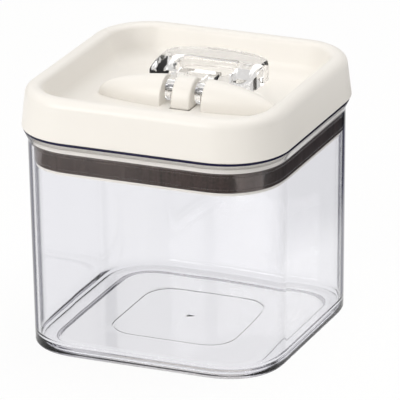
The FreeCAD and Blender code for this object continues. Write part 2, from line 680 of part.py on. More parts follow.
grip_plan = new_sketch(lever, "grip_plan", "XY_Plane", GRIP_LOW)
add_grip(grip_plan, "grip_half", "grip_front", "grip_back", "grip_arc", "grip_corner", "grip_toe")
grip = pad(lever, "grip_block", grip_plan, "grip_tall")
window_plan = new_sketch(lever, "window_plan", "XY_Plane", GRIP_LOW + " - 1")
add_rounded(window_plan, "-window_half", "window_half", "window_front", "window_back",
            "window_corner")
window = pocket(lever, "finger_window", window_plan, "grip_tall + 2", True)
GRIP_TOP = "(%s + grip_tall)" % GRIP_LOW
grip_top = number(GRIP_TOP)
roof_plan = new_sketch(lever, "roof_plan", "YZ_Plane", None)


def add_roof(sketch, start, top, radius, end):
    """Closed area above an arc that leaves a level top and falls towards the front."""
    y0, z0, big, y1 = (number(text) for text in (start, top, radius, end))
    vec = FreeCAD.Vector
    drop = z0 - big + (big ** 2 - (y0 - y1) ** 2) ** 0.5
    quarter = 1.5707963267948966
    circle = Part.Circle(vec(y0, z0 - big, 0), vec(0, 0, 1), big)
    reach = vec(y1 - y0, drop - z0 + big, 0).getAngle(vec(1, 0, 0))
    sketch.addGeometry(Part.ArcOfCircle(circle, quarter, reach), False)
    spots = [(y1, drop), (y1, z0 + 1), (y0, z0 + 1), (y0, z0)]
    for (ax, ay), (bx, by) in zip(spots, spots[1:]):
        sketch.addGeometry(Part.LineSegment(vec(ax, ay, 0), vec(bx, by, 0)), False)
    for here, there in ((0, 1), (1, 2), (2, 3), (3, 0)):
        sketch.addConstraint(Sketcher.Constraint("Coincident", here, 2, there, 1))
    sketch.addConstraint(Sketcher.Constraint("Vertical", 1))
    sketch.addConstraint(Sketcher.Constraint("Horizontal", 2))
    sketch.addConstraint(Sketcher.Constraint("Vertical", 3))
    drive(sketch, "Radius", (0,), radius)
    drive(sketch, "DistanceX", (-1, 1, 0, 3), start)
    drive(sketch, "DistanceY", (-1, 1, 0, 3), "%s - %s" % (top, radius))
    drive(sketch, "DistanceX", (-1, 1, 3, 1), start)
    drive(sketch, "DistanceX", (-1, 1, 1, 1), end)
    drive(sketch, "DistanceY", (-1, 1, 2, 1), top + " + 1")


add_roof(roof_plan, "window_back", GRIP_TOP, "roof_arc", "grip_front - 1")
roof = lever.newObject("PartDesign::Pocket", "grip_roof")
roof.Profile = roof_plan
roof.Type = "ThroughAll"
roof.Midplane = True
doc.recompute()
roof_start = number("window_back")


def grip_top_edge(middle, box):
    upright = box.XLength < 0.01 and box.YLength < 0.01
    across = abs(middle.y - roof_start) < 0.01 and box.YLength < 0.01
    crease = across and abs(middle.x) > number("window_half")
    return middle.z > number(GRIP_LOW) + 2.5 and not upright and not crease


grip_round = fillet(lever, "grip_edges", roof, "grip_round", grip_top_edge)
tray_plan = new_sketch(lever, "tray_plan", "XY_Plane", GRIP_LOW)
add_grip(tray_plan, "grip_half - grip_skin", "window_back + grip_skin", "grip_back - grip_skin",
         "grip_arc - grip_skin", "grip_corner - grip_skin", "grip_round * 0.5")
tray = pocket(lever, "grip_hollow", tray_plan, "grip_tall - grip_skin", True)
cam_plan = new_sketch(lever, "cam_plan", "YZ_Plane", None)
CAM_Y = "(cam_round - pin_above + cam_lift)"
CAM_Z = "(%s - pin_above + cam_round + cam_gap)" % PIN_Z
add_circle(cam_plan, "cam_round", CAM_Y, CAM_Z)
cams = pad(lever, "cam_drum", cam_plan, "2 * " + ARM_OUT)
cams.Midplane = True
arm_plan = new_sketch(lever, "arm_plan", "YZ_Plane", None)
add_box(arm_plan, CAM_Y, "window_front", GRIP_LOW, PIN_Z + " + arm_rise")
arms = pad(lever, "arm_block", arm_plan, "2 * " + ARM_OUT)
arms.Midplane = True
doc.recompute()
gap_plan = new_sketch(lever, "gap_plan", "XY_Plane", FLOOR + " - 1")
add_box(gap_plan, "-(tongue_half + clear_gap)", "tongue_half + clear_gap",
        "-(ridge_deep + 1)", "grip_front + 1.2")
gap = pocket(lever, "arm_gap", gap_plan, "ridge_tall + 4", True)
eye_plan = new_sketch(lever, "eye_plan", "YZ_Plane", None)
add_circle(eye_plan, "pin_round + press_gap", None, PIN_Z)
eye = lever.newObject("PartDesign::Pocket", "arm_eyes")
eye.Profile = eye_plan
eye.Type = "ThroughAll"
eye.Midplane = True
doc.recompute()

NODES = [canister, lid, liner, liner_screws, seal, plate, plate_screw, screw_plug, rod, pin, lever]

doc.recompute()
for item in doc.Objects:
    if "Invalid" in item.State or "Error" in item.State:
        raise RuntimeError("feature failed: " + item.Name)
os.makedirs("parts", exist_ok=True)
for node in NODES:
    shape = node.Shape
    if shape.isNull() or not shape.isValid():
        raise RuntimeError("bad shape: " + node.Label)
    box = shape.BoundBox
    print("%-14s solids %d volume %.1f  x %.2f %.2f  y %.2f %.2f  z %.2f %.2f" % (
        node.Label, len(shape.Solids), shape.Volume, box.XMin, box.XMax, box.YMin, box.YMax,
        box.ZMin, box.ZMax))
    shape.exportStep("parts/%s.step" % node.Label)
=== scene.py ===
import math

import bpy
import numpy as np
from bpy.props import FloatProperty, FloatVectorProperty, PointerProperty
from mathutils import Matrix, Vector


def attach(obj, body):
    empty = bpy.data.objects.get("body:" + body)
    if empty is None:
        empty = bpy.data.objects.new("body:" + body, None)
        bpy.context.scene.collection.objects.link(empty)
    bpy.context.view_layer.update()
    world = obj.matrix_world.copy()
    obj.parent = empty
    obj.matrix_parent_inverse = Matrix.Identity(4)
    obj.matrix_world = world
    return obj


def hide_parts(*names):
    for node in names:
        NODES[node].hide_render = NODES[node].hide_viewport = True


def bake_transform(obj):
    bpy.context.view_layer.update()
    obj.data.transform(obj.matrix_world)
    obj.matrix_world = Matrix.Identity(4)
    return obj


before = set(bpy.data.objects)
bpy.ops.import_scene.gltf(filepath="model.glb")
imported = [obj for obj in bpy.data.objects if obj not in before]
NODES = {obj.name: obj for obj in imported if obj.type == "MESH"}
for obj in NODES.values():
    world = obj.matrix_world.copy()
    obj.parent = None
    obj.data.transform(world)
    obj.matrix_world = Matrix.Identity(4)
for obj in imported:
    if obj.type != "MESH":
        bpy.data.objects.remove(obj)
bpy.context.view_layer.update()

bl_info = {
    "name": "Clear Canister Looks",
    "version": (1, 0, 0),
    "blender": (4, 5, 0),
    "location": "View3D > Sidebar > Canister",
    "description": "Dresses a square clear canister with a dished lid and a flip handle",
    "category": "Object",
}

MM = 0.001
PLASTIC_INDEX = 1.49

# half the width of the foot's outline in millimetres, which the square pieces are swept along
FOOT_HALF = 54.66

# camera of the photograph, found from the lid's and the foot's outlines
VIEW_TURN = math.radians(23.213)
VIEW_RISE = math.radians(20.359)
VIEW_FAR = 2.0361
VIEW_AIM = (0.0, 0.0, 0.054347)
VIEW_SLIDE = 0.0044985
VIEW_LENS = 442.59
VIEW_ROLL = math.radians(-0.724)

# the room that clear pieces show, low down and high up, and the strength of its light
WALLS_LOW = 0.5
WALLS_HIGH = 0.8
ROOM_LIGHT = 0.52
PAPER_GLOW = 0.90
LAMP_AIM = (0.0, 0.0, 0.07)


def colour(name, text, value):
    return FloatVectorProperty(
        name=name, description=text, subtype="COLOR", size=3, min=0.0, max=1.0, default=value)


class CanisterLooks(bpy.types.PropertyGroup):
    """Colours and finishes that a user would change."""

    wall_tint: colour("Wall tint", "Tint of the clear wall", (0.955, 0.955, 0.965))
    wall_depth: colour("Wall depth", "Tone that grows with the way through the wall",
                       (0.60, 0.60, 0.70))
    # Painted dark shade for the wall's corners seen edge on.
    wall_edge_shade: colour("Wall rim", "Deep tone of the wall's corners seen edge on",
                     (0.003, 0.003, 0.010))
    grip_tint: colour("Handle tint", "Tint of the clear handle", (0.94, 0.94, 0.945))
    ivory: colour("Ivory", "Main tone of the lid", (0.825, 0.798, 0.754))
    ivory_deep: colour("Ivory shade", "Deeper tone that drifts over the lid",
                       (0.80, 0.771, 0.724))
    seal: colour("Seal", "Main tone of the seal ring", (0.036, 0.025, 0.022))
    seal_fleck: colour("Seal fleck", "Paler flecks in the seal ring", (0.120, 0.083, 0.070))
    # Painted dark shade for the clear lip's edge under the lid, in two tones that drift.
    lip: colour("Lip edge", "Dark tone of the clear lip's edge", (0.016, 0.014, 0.055))
    lip_deep: colour("Lip shade", "Deeper tone of the lip's edge", (0.006, 0.006, 0.018))
    steel: colour("Steel", "Tone of the pin and screws", (0.34, 0.34, 0.35))
    wall_density: FloatProperty(
        name="Wall density", description="How fast the wall's depth tone grows, per metre",
        default=40.0, min=0.0)
    grip_index: FloatProperty(
        name="Handle index", description="Refractive index of the handle's plastic",
        default=1.36, min=1.2, max=1.7)
    clear_index: FloatProperty(
        name="Clear index", description="Refractive index of the wall's plastic",
        default=1.37, min=1.3, max=1.7)
    wave: FloatProperty(
        name="Wave height", description="Height of the slow waves in the clear plastic",
        default=0.05 * MM, unit="LENGTH")
    grain: FloatProperty(
        name="Grain height", description="Height of the lid's fine moulded grain",
        default=0.02 * MM, unit="LENGTH")


class Tone:
    """A socket that takes part in sums: value maths adds Math nodes."""

    def __init__(self, web, socket):
        self.web = web
        self.socket = socket

    def _maths(self, operation, first, second):
        return self.web.node("ShaderNodeMath", {"operation": operation}, {0: first, 1: second})

    def __add__(self, other):
        return self._maths("ADD", self, other)

    def __radd__(self, other):
        return self._maths("ADD", other, self)

    def __sub__(self, other):
        return self._maths("SUBTRACT", self, other)

    def __rsub__(self, other):
        return self._maths("SUBTRACT", other, self)

    def __mul__(self, other):
        return self._maths("MULTIPLY", self, other)

    def __rmul__(self, other):
        return self._maths("MULTIPLY", other, self)


class Web:
    """One node tree, with a single method that adds any node."""

    def __init__(self, tree):
        self.tree = tree
        tree.nodes.clear()

    def node(self, kind, settings=None, sockets=None, out=0):
        made = self.tree.nodes.new(kind)
        for key, value in (settings or {}).items():
            setattr(made, key, value)
        for key, value in (sockets or {}).items():
            socket = made.inputs[key]
            if isinstance(value, Tone):
                self.tree.links.new(value.socket, socket)
            else:
                socket.default_value = value
        if out is None:
            return made
        return Tone(self, made.outputs[out])

    def spot(self):
        """Place on the piece, in metres, in the object's own axes."""
        return self.node("ShaderNodeTexCoord", out="Object")

    def squeeze(self, stretch):
        """The object's place, scaled by three factors."""
        return self.node("ShaderNodeMapping", {}, {"Vector": self.spot(), "Scale": stretch},
                         out="Vector")

    def parts(self, vector):
        """The three values of a vector."""
        made = self.node("ShaderNodeSeparateXYZ", {}, {0: vector}, out=None)
        return [Tone(self, socket) for socket in made.outputs]

    def noise(self, scale, detail=2.0, rough=0.5, place=None):
        return self.node("ShaderNodeTexNoise", {}, {
            "Vector": place or self.spot(), "Scale": scale, "Detail": detail,
            "Roughness": rough}, out="Fac")

    def rise(self, value, low, high, kind="SMOOTHSTEP"):
        """0 up to low, 1 from high on, and a smooth or a linear rise between them."""
        return self.node("ShaderNodeMapRange", {"interpolation_type": kind}, {
            "Value": value, "From Min": low, "From Max": high})

    def ray(self, kind):
        """1 for one kind of ray."""
        return self.node("ShaderNodeLightPath", out=kind)

    def blend(self, factor, first, second):
        """Two colours, mixed by a factor."""
        return self.node("ShaderNodeMix", {"data_type": "RGBA"},
                         {0: factor, 6: (*first, 1.0), 7: (*second, 1.0)}, out=2)

    def mix(self, factor, first, second):
        """Two shaders, mixed by a factor."""
        return self.node("ShaderNodeMixShader", {}, {0: factor, 1: first, 2: second})

    def bump(self, height, distance, strength=1.0):
        return self.node("ShaderNodeBump", {}, {
            "Height": height, "Distance": distance, "Strength": strength}, out="Normal")

    def finish(self, shader, inside=None):
        sockets = {"Surface": shader}
        if inside:
            sockets["Volume"] = inside
        self.node("ShaderNodeOutputMaterial", {}, sockets, out=None)


def new_finish(name):
    material = bpy.data.materials.new(name)
    material.use_nodes = True
    return material, Web(material.node_tree)


def corner_painted_shade(web):
    """1 where a rounded corner of the clear wall turns edge on, which is where the painted dark
    shade goes.

    The mask is a product of smooth steps: a wide and a narrow one of how far the surface turns
    away, then the lesser of the two plan distances from the middle, and the height. The
    direction that turns leans upwards, so that the mask fades when seen from above.
    """
    lean = (0.0, 0.0, 0.42)
    wide, wide_share = (0.32, 0.54), 0.2
    narrow, narrow_share = (0.505, 0.58), 0.8
    corner = (28.0 * MM, 33.0 * MM)
    above_foot = (3.5 * MM, 8.0 * MM)
    way = web.node("ShaderNodeNewGeometry", out="Normal")
    way = web.node("ShaderNodeVectorMath", {"operation": "ADD"}, {0: way, 1: lean})
    way = web.node("ShaderNodeVectorMath", {"operation": "NORMALIZE"}, {0: way})
    edge_on = web.node("ShaderNodeLayerWeight", {}, {"Blend": 0.5, "Normal": way}, out="Facing")
    away = web.node("ShaderNodeVectorMath", {"operation": "ABSOLUTE"}, {0: web.spot()})
    across, along, height = web.parts(away)
    lesser = web.node("ShaderNodeMath", {"operation": "MINIMUM"}, {0: across, 1: along})
    turned = web.rise(edge_on, *wide) * wide_share + web.rise(edge_on, *narrow) * narrow_share
    return turned * web.rise(lesser, *corner) * web.rise(height, *above_foot)


def clear_finish(name, tint, index, looks, depth=None):
    """Clear moulded plastic: slow waves from the mould and a faint drift of polish.

    With a depth it also has the wall's tone inside and painted dark shade on its corners seen edge
    on.
    """
    material, web = new_finish(name)
    slow = web.noise(38.0, 1.0)
    haze = web.noise(160.0, 3.0)
    body, inside = (*tint, 1.0), None
    if depth is not None:
        # Painted dark shade: corners seen edge on take the near-black rim colour.
        body = web.blend(corner_painted_shade(web), tint, looks.wall_edge_shade)
        inside = web.node("ShaderNodeVolumeAbsorption", {}, {
            "Color": (*depth, 1.0), "Density": looks.wall_density})
    shader = web.node("ShaderNodeBsdfPrincipled", {}, {
        "Base Color": body,
        "Roughness": 0.004 + haze * 0.016,
        "IOR": index,
        "Transmission Weight": 1.0,
        "Normal": web.bump(slow, looks.wave),
    })
    web.finish(shader, inside)
    return material


def ivory_finish(name, looks):
    """Ivory moulded plastic: tone that drifts, fine grain and a soft sheen."""
    material, web = new_finish(name)
    drift = web.noise(22.0, 3.0)
    grain = web.noise(2600.0, 2.0)
    haze = web.noise(90.0, 2.0)
    shader = web.node("ShaderNodeBsdfPrincipled", {}, {
        "Base Color": web.blend(drift, looks.ivory, looks.ivory_deep),
        "Roughness": 0.30 + haze * 0.14,
        "IOR": PLASTIC_INDEX,
        "Normal": web.bump(grain, looks.grain, 0.5),
    })
    web.finish(shader)
    return material


def seal_finish(name, looks):
    """Silicone: dark tone with upright streaks, small paler flecks and a dusty surface."""
    material, web = new_finish(name)
    flecks = web.noise(900.0, 3.0, 0.65)
    clouds = web.noise(45.0, 2.0)
    streaks = web.noise(420.0, 2.0, 0.6, web.squeeze((1.0, 1.0, 0.03)))
    mask = web.rise(flecks * 0.35 + clouds * 0.3 + streaks * 0.35, 0.36, 0.64, "LINEAR")
    shader = web.node("ShaderNodeBsdfPrincipled", {}, {
        "Base Color": web.blend(mask, looks.seal, looks.seal_fleck),
        "Roughness": 0.34 + clouds * 0.2,
        "Normal": web.bump(flecks, 0.02 * MM, 0.5),
    })
    web.finish(shader)
    return material


def lip_shade_finish(name, looks):
    """Painted dark shade for the edge of the clear lip, where the light runs along the plastic and
    comes out dark.
    """
    material, web = new_finish(name)
    drift = web.noise(55.0, 2.0)
    shader = web.node("ShaderNodeBsdfPrincipled", {}, {
        "Base Color": web.blend(drift, looks.lip, looks.lip_deep),
        "Roughness": 0.12 + drift * 0.12,
        "IOR": PLASTIC_INDEX,
        "Specular IOR Level": 0.15,
    })
    web.finish(shader)
    return material


def steel_finish(name, looks):
    """Drawn steel: lines along the length and small changes of polish."""
    material, web = new_finish(name)
    lines = web.noise(900.0, 2.0, 0.5, web.squeeze((0.05, 1.0, 1.0)))
    shader = web.node("ShaderNodeBsdfPrincipled", {}, {
        "Base Color": (*looks.steel, 1.0),
        "Metallic": 1.0,
        "Roughness": 0.22 + lines * 0.2,
        "Normal": web.bump(lines, 0.01 * MM, 0.5),
    })
    web.finish(shader)
    return material


def square_way(bend=44, reach=26.6, ease=0.6):
    """Path of the foot's outline, and its outward directions, in millimetres.

    Round each corner the direction turns through a quarter circle by a mix of an even turn
    and a smooth step, so the bend grows and fades without a jump. The places are the running
    sum of the steps along that direction, scaled to the corner's reach. The straight sides
    join the ends of neighbouring corners.
    """
    share = np.linspace(0.0, 1.0, bend)
    middle = (share[1:] + share[:-1]) / 2.0

    def turn(t):
        return math.pi / 2.0 * ((1.0 - ease) * t + ease * t * t * (3.0 - 2.0 * t))

    steps = np.stack((-np.sin(turn(middle)), np.cos(turn(middle))), axis=1)
    run = np.concatenate((np.zeros((1, 2)), np.cumsum(steps, axis=0)))
    run *= reach / run[-1, 1]
    first = np.array((FOOT_HALF, FOOT_HALF - reach)) + run
    out = np.stack((np.cos(turn(share)), np.sin(turn(share))), axis=1)
    quarters = np.array([[[1, 0], [0, 1]], [[0, -1], [1, 0]], [[-1, 0], [0, -1]],
                         [[0, 1], [-1, 0]]], dtype=float)
    places = np.concatenate([first @ turned.T for turned in quarters])
    return places, np.concatenate([out @ turned.T for turned in quarters])


def square_sweep(half, level, shrink=None, tuck=0.0):
    """Profile (half, level) carried along the foot's outline, in millimetres, as a grid in metres.

    Every point is the place on the outline plus the outward direction times the profile's
    distance from it, less tuck times the eighth power of the sine of twice the direction's
    angle, which draws the corners in. Rows inside the floor are then drawn towards the middle
    by shrink, and turn from a square into a circle as shrink falls from 0.4 to 0.15.
    """
    square_from, square_fade = 0.4, 0.25
    place, out = square_way()
    away = (np.asarray(half) - FOOT_HALF)[:, None, None]
    away = away - tuck * (2.0 * out[:, :1] * out[:, 1:])[None] ** 8
    plan = place[None] + out[None] * away
    if shrink is not None:
        shrink = np.asarray(shrink)[:, None, None]
        plan = plan * shrink
        disc = plan / np.linalg.norm(plan, axis=2, keepdims=True)
        disc = disc * np.asarray(half)[:, None, None] * shrink
        plan = plan + (disc - plan) * np.clip((square_from - shrink) / square_fade, 0.0, 1.0)
    rise = np.broadcast_to(np.asarray(level)[:, None, None], (*plan.shape[:2], 1))
    return np.concatenate((plan, rise), axis=2) * MM


def round_loop(wide, tall, centre_half, centre_level, count=40):
    """Closed ellipse: its centre plus the cosine and sine of the angle times its half sizes."""
    angle = np.linspace(0.0, 2.0 * math.pi, count, endpoint=False)
    return centre_half + wide * np.cos(angle), centre_level + tall * np.sin(angle)


def arc(centre_half, centre_level, radius, start, end, count=12):
    """Points (half, level) on a circle between two angles in degrees."""
    angle = np.radians(np.linspace(start, end, count))
    return np.stack((centre_half + radius * np.cos(angle),
                     centre_level + radius * np.sin(angle)), axis=1)


def run_between(start, end, count=9):
    """Points on a straight line, crowded towards both ends by a cosine."""
    share = (1.0 - np.cos(np.linspace(0.0, math.pi, count))) / 2.0
    start, end = np.array(start), np.array(end)
    return start + (end - start) * share[:, None]


def wall_profile():
    """Half section of the canister from the middle of the floor round to the foot's middle.

    Rows are (half, level, shrink) in millimetres: shrink below 1 draws a row towards the
    middle. The lip flares by a smooth step. Inside the foot ring a hollow rises by a power of
    the way. Under the foot a fine groove has the depth of a squared parabola, and the gate
    mark is a shallow round bowl with the depth of a cosine.
    """
    floor, bend, edge = 3.2, 3.2, 1.8
    inner, mouth, outer, neck = 52.58, 53.69, 54.70, 55.835
    rim_level, rim_round, rim_in, rim_out = 93.9, 0.5, 54.2, 56.98
    flare_top, flare_low, flare_from, flare_tall, flare_wide = 93.6, 88.6, 93.7, 5.1, 1.60
    neck_level, foot_middle = 88.2, 50.5
    ring, ring_round = 45.9, 0.3
    hollow_in, hollow_wide, hollow_low, hollow_power = 0.34, 3.6, 0.4, 2.4
    base, under, panel = ring - 4.4, 1.6, 1.65
    groove_half, groove_wide, groove_deep = 27.2, 0.55, 0.10
    gate_round, gate_deep = 2.8, 0.26

    def rows(points):
        points = np.asarray(points, dtype=float)
        return np.column_stack((points, np.ones(len(points))))

    def flat(half, level, shares):
        shares = np.asarray(shares)
        return np.column_stack((np.full_like(shares, half), np.full_like(shares, level), shares))

    inside = [flat(inner - bend - 0.18, floor, (0.02, 0.3, 0.6, 0.9, 0.985)),
              rows(arc(inner - bend, floor + bend, bend, 270.0, 360.0, 20)),
              rows(run_between((inner + 0.005, floor + bend + 0.2), (mouth, flare_top), 13)),
              rows(arc(rim_in, rim_level, rim_round, 180.0, 90.0)),
              rows(arc(rim_out, rim_level, rim_round, 90.0, -15.0))]
    rise = np.linspace(flare_top, flare_low, 26)
    share = np.clip((flare_from - rise) / flare_tall, 0.0, 1.0)
    flare = neck + flare_wide * (1.0 - share * share * (3.0 - 2.0 * share))
    hollow = np.linspace(0.0, 1.0, 16)
    hollow_rise = under - (under - hollow_low) * (1.0 - hollow) ** hollow_power
    outside = [rows(np.column_stack((flare, rise))),
               rows(run_between((neck - 0.005, neck_level), (outer, edge + 0.2), 13)),
               rows(arc(outer - edge, edge, edge, 0.0, -90.0, 16)),
               rows([(foot_middle, 0.0), (ring + 0.5, 0.0)]),
               rows(arc(ring, ring_round, ring_round, 270.0, 190.0, 8)),
               rows(np.column_stack((ring - hollow_in - hollow_wide * hollow, hollow_rise)))]
    way = np.linspace(-1.0, 1.0, 15)
    depth = (under + (panel - under) * (way + 1.0) / 2.0
             + groove_deep * (1.0 - way * way) ** 2)
    groove = np.column_stack((np.full_like(way, FOOT_HALF), depth,
                              (groove_half - groove_wide * way) / FOOT_HALF))
    bowl = np.linspace(1.0, 0.03, 24)
    dimple = np.column_stack((np.full_like(bowl, base),
                              panel + gate_deep * (0.5 + 0.5 * np.cos(math.pi * bowl)),
                              gate_round * bowl / base))
    foot = [flat(base, under, (0.99, 0.92, 0.82, 0.70)), groove,
            flat(base, panel, (0.55, 0.4, 0.2, 0.1)), dimple]
    return np.concatenate(inside + outside + foot)


def tongue_grid():
    """Tongue of the pull rod: rows across its width, columns round its outline, in metres.

    The outline is half an ellipse that stands on a level base. Towards each side the rows
    draw the outline in to a point within it, first by a quarter circle, which makes the edge
    soft, and then in two more steps to the middle of the side.
    """
    half, soft, deep, tall = 4.2, 1.0, 8.85, 11.55
    floor, sink, middle_rise = 97.0, 0.3, 3.6
    side_in = np.array((7.0, 3.5))
    angle = np.linspace(0.0, math.pi, 60)
    base = np.linspace(-deep, deep, 24)[1:-1]
    rim_y = np.concatenate((deep * np.cos(angle), base))
    rim_z = np.concatenate((floor + tall * np.sin(angle), np.full(len(base), floor - sink)))
    turn = np.linspace(0.0, math.pi / 2.0, 9)
    edge_x = half - soft + soft * np.cos(turn)
    edge_in = soft * (1.0 - np.sin(turn))
    row_x = np.concatenate(([half, half], edge_x, -edge_x[::-1], [-half, -half]))
    row_in = np.concatenate((side_in, edge_in, edge_in[::-1], side_in[::-1]))
    shrink = 1.0 - row_in[:, None] / deep
    middle = floor + middle_rise
    return np.stack((np.broadcast_to(row_x[:, None], (len(row_x), len(rim_y))),
                     rim_y * shrink, middle + (rim_z - middle) * shrink), axis=2) * MM


def stem_grid():
    """Stem of the pull rod: circles on a radius and a level each, with a soft lower edge."""
    around = np.linspace(0.0, 2.0 * math.pi, 48, endpoint=False)
    radius = np.array((2.0, 3.7, 4.0, 4.0))[:, None]
    level = np.array((84.0, 84.0, 84.3, 97.5))[:, None]
    return np.stack((radius * np.cos(around), radius * np.sin(around),
                     np.broadcast_to(level, (len(level), len(around)))), axis=2) * MM


def seal_profile():
    """Closed section (half, level) of the seal, in millimetres.

    The two outer edges are quarter circles. The side between them has two fine grooves, each
    with the depth of a bell curve of the level.
    """
    inner, between, outer, soft = 48.22, 50.0, 53.70, 1.0
    low, middle, high = 80.3, 84.6, 88.9
    groove_deep, groove_tall, groove_low, groove_high = 0.28, 0.16, 82.0, 87.3
    turn = np.linspace(0.0, math.pi / 2.0, 7)
    side = np.linspace(low + soft, high - soft, 90)
    grooves = groove_deep * (np.exp(-((side - groove_high) / groove_tall) ** 2)
                             + np.exp(-((side - groove_low) / groove_tall) ** 2))
    half = np.concatenate(([inner, between], outer - soft + soft * np.sin(turn),
                           outer - grooves, outer - soft + soft * np.cos(turn),
                           [between, inner, inner]))
    level = np.concatenate(([low, low], low + soft - soft * np.cos(turn), side,
                            high - soft + soft * np.sin(turn), [high, high, middle]))
    return half, level


def grid_piece(name, grid, material, wrap_rows=True, poles=False):
    """Mesh object from a grid of points whose columns, and if told its rows, close up.

    With poles the first and last rows close on their own middle points. Where the sum of the
    faces' signed volumes is below nothing, all faces are turned to point outwards.
    """
    rows, cols = grid.shape[:2]
    spots = grid.reshape(-1, 3)
    r = np.arange(rows if wrap_rows else rows - 1)[:, None]
    c = np.arange(cols)[None, :]
    low, high = (r % rows) * cols, ((r + 1) % rows) * cols
    c2 = (c + 1) % cols
    quads = np.stack((low + c, low + c2, high + c2, high + c), axis=2).reshape(-1, 4)
    faces = quads.tolist()
    corners = spots[quads]
    volume = np.einsum("ij,ij->", corners[:, 0], np.cross(corners[:, 1], corners[:, 2]))
    volume += np.einsum("ij,ij->", corners[:, 0], np.cross(corners[:, 2], corners[:, 3]))
    if poles:
        first, last = len(spots), len(spots) + 1
        ring = np.arange(cols)
        after = (ring + 1) % cols
        start = np.stack((np.full(cols, first), after, ring), axis=1)
        end = np.stack((np.full(cols, last), ring, after), axis=1)
        end[:, 1:] += (rows - 1) * cols
        spots = np.concatenate((spots, grid[:1].mean(axis=1), grid[-1:].mean(axis=1)))
        faces = faces + start.tolist() + end.tolist()
    mesh = bpy.data.meshes.new(name)
    mesh.from_pydata(spots.tolist(), [], faces)
    if volume < 0.0:
        mesh.flip_normals()
    mesh.polygons.foreach_set("use_smooth", np.ones(len(mesh.polygons), dtype=bool))
    mesh.materials.append(material)
    mesh.update()
    item = bpy.data.objects.new(name, mesh)
    bpy.context.scene.collection.objects.link(item)
    return item


def dress(node_names, material):
    """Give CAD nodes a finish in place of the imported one."""
    for name in node_names:
        slots = NODES[name].material_slots
        if not slots:
            NODES[name].data.materials.append(material)
        for slot in slots:
            slot.material = material


def let_light_through(piece):
    """Clear plastic passes the lamps' light on to what lies behind it."""
    piece.visible_shadow = False
    piece.visible_diffuse = False


def looks_of(context):
    return context.scene.canister_looks


class CANISTER_OT_wall(bpy.types.Operator):
    """Make the clear canister, with corners whose bend grows and fades smoothly"""

    bl_idname = "canister.wall"
    bl_label = "Clear Canister"

    def execute(self, context):
        looks = looks_of(context)
        material = clear_finish("clear_wall", looks.wall_tint, looks.clear_index, looks,
                                looks.wall_depth)
        half, level, shrink = wall_profile().T
        piece = grid_piece("canister_wall", square_sweep(half, level, shrink), material,
                           wrap_rows=False, poles=True)
        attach(piece, "canister")
        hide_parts("canister_body")
        let_light_through(piece)
        return {"FINISHED"}


class CANISTER_OT_lip(bpy.types.Operator):
    """Make a ring of painted dark shade at the edge of the clear lip"""

    bl_idname = "canister.lip"
    bl_label = "Lip Edge"

    def execute(self, context):
        material = lip_shade_finish("painted_lip_shade", looks_of(context))
        half, level = round_loop(wide=0.28, tall=0.55, centre_half=57.40, centre_level=93.74)
        # Ring of painted dark shade round the lip's edge, under the lid.
        piece = grid_piece("lip_shade_ring", square_sweep(half, level), material)
        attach(piece, "canister")
        return {"FINISHED"}


class CANISTER_OT_lid(bpy.types.Operator):
    """Finish the ivory pieces of the lid"""

    bl_idname = "canister.lid"
    bl_label = "Ivory Lid"

    def execute(self, context):
        material = ivory_finish("ivory_moulding", looks_of(context))
        dress(["lid_shell", "lid_liner", "bottom_plate", "screw_plug"], material)
        return {"FINISHED"}


class CANISTER_OT_tongue(bpy.types.Operator):
    """Make the pull rod's soft edged tongue and its stem"""

    bl_idname = "canister.tongue"
    bl_label = "Pull Rod Tongue"

    def execute(self, context):
        material = ivory_finish("ivory_tongue", looks_of(context))
        tongue = grid_piece("tongue", tongue_grid(), material, wrap_rows=False, poles=True)
        stem = grid_piece("rod_stem", stem_grid(), material, wrap_rows=False, poles=True)
        for piece in (tongue, stem):
            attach(piece, "clamp")
        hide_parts("pull_rod")
        return {"FINISHED"}


class CANISTER_OT_seal(bpy.types.Operator):
    """Make the seal ring, which stretches between the lid and the clamp plate"""

    bl_idname = "canister.seal"
    bl_label = "Seal Ring"

    def execute(self, context):
        material = seal_finish("dark_silicone", looks_of(context))
        piece = grid_piece("seal_band", square_sweep(*seal_profile(), tuck=0.5), material)
        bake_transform(piece)
        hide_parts("seal_ring")
        return {"FINISHED"}


class CANISTER_OT_handle(bpy.types.Operator):
    """Finish the clear flip handle"""

    bl_idname = "canister.handle"
    bl_label = "Flip Handle"

    def execute(self, context):
        looks = looks_of(context)
        material = clear_finish("clear_handle", looks.grip_tint, looks.grip_index, looks)
        dress(["flip_handle"], material)
        let_light_through(NODES["flip_handle"])
        return {"FINISHED"}


class CANISTER_OT_fittings(bpy.types.Operator):
    """Finish the steel pin and screws"""

    bl_idname = "canister.fittings"
    bl_label = "Steel Fittings"

    def execute(self, context):
        dress(["hinge_pin", "liner_screws", "plate_screw"],
              steel_finish("drawn_steel", looks_of(context)))
        return {"FINISHED"}


def paper_finish():
    """White paper: glows white where it is seen, and keeps part of the object's shadow."""
    material, web = new_finish("white_paper")
    plain_paper = web.node("ShaderNodeBsdfDiffuse", {}, {"Color": (0.9, 0.895, 0.885, 1.0)})
    glow = web.node("ShaderNodeEmission", {}, {"Color": (1, 1, 1, 1), "Strength": 1.0})
    seen = web.ray("Is Camera Ray") + web.ray("Is Glossy Ray") + web.ray("Is Transmission Ray")
    mask = web.node("ShaderNodeMath", {"operation": "MINIMUM"}, {0: seen, 1: 1.0})
    web.finish(web.mix(mask * PAPER_GLOW, plain_paper, glow))
    return material


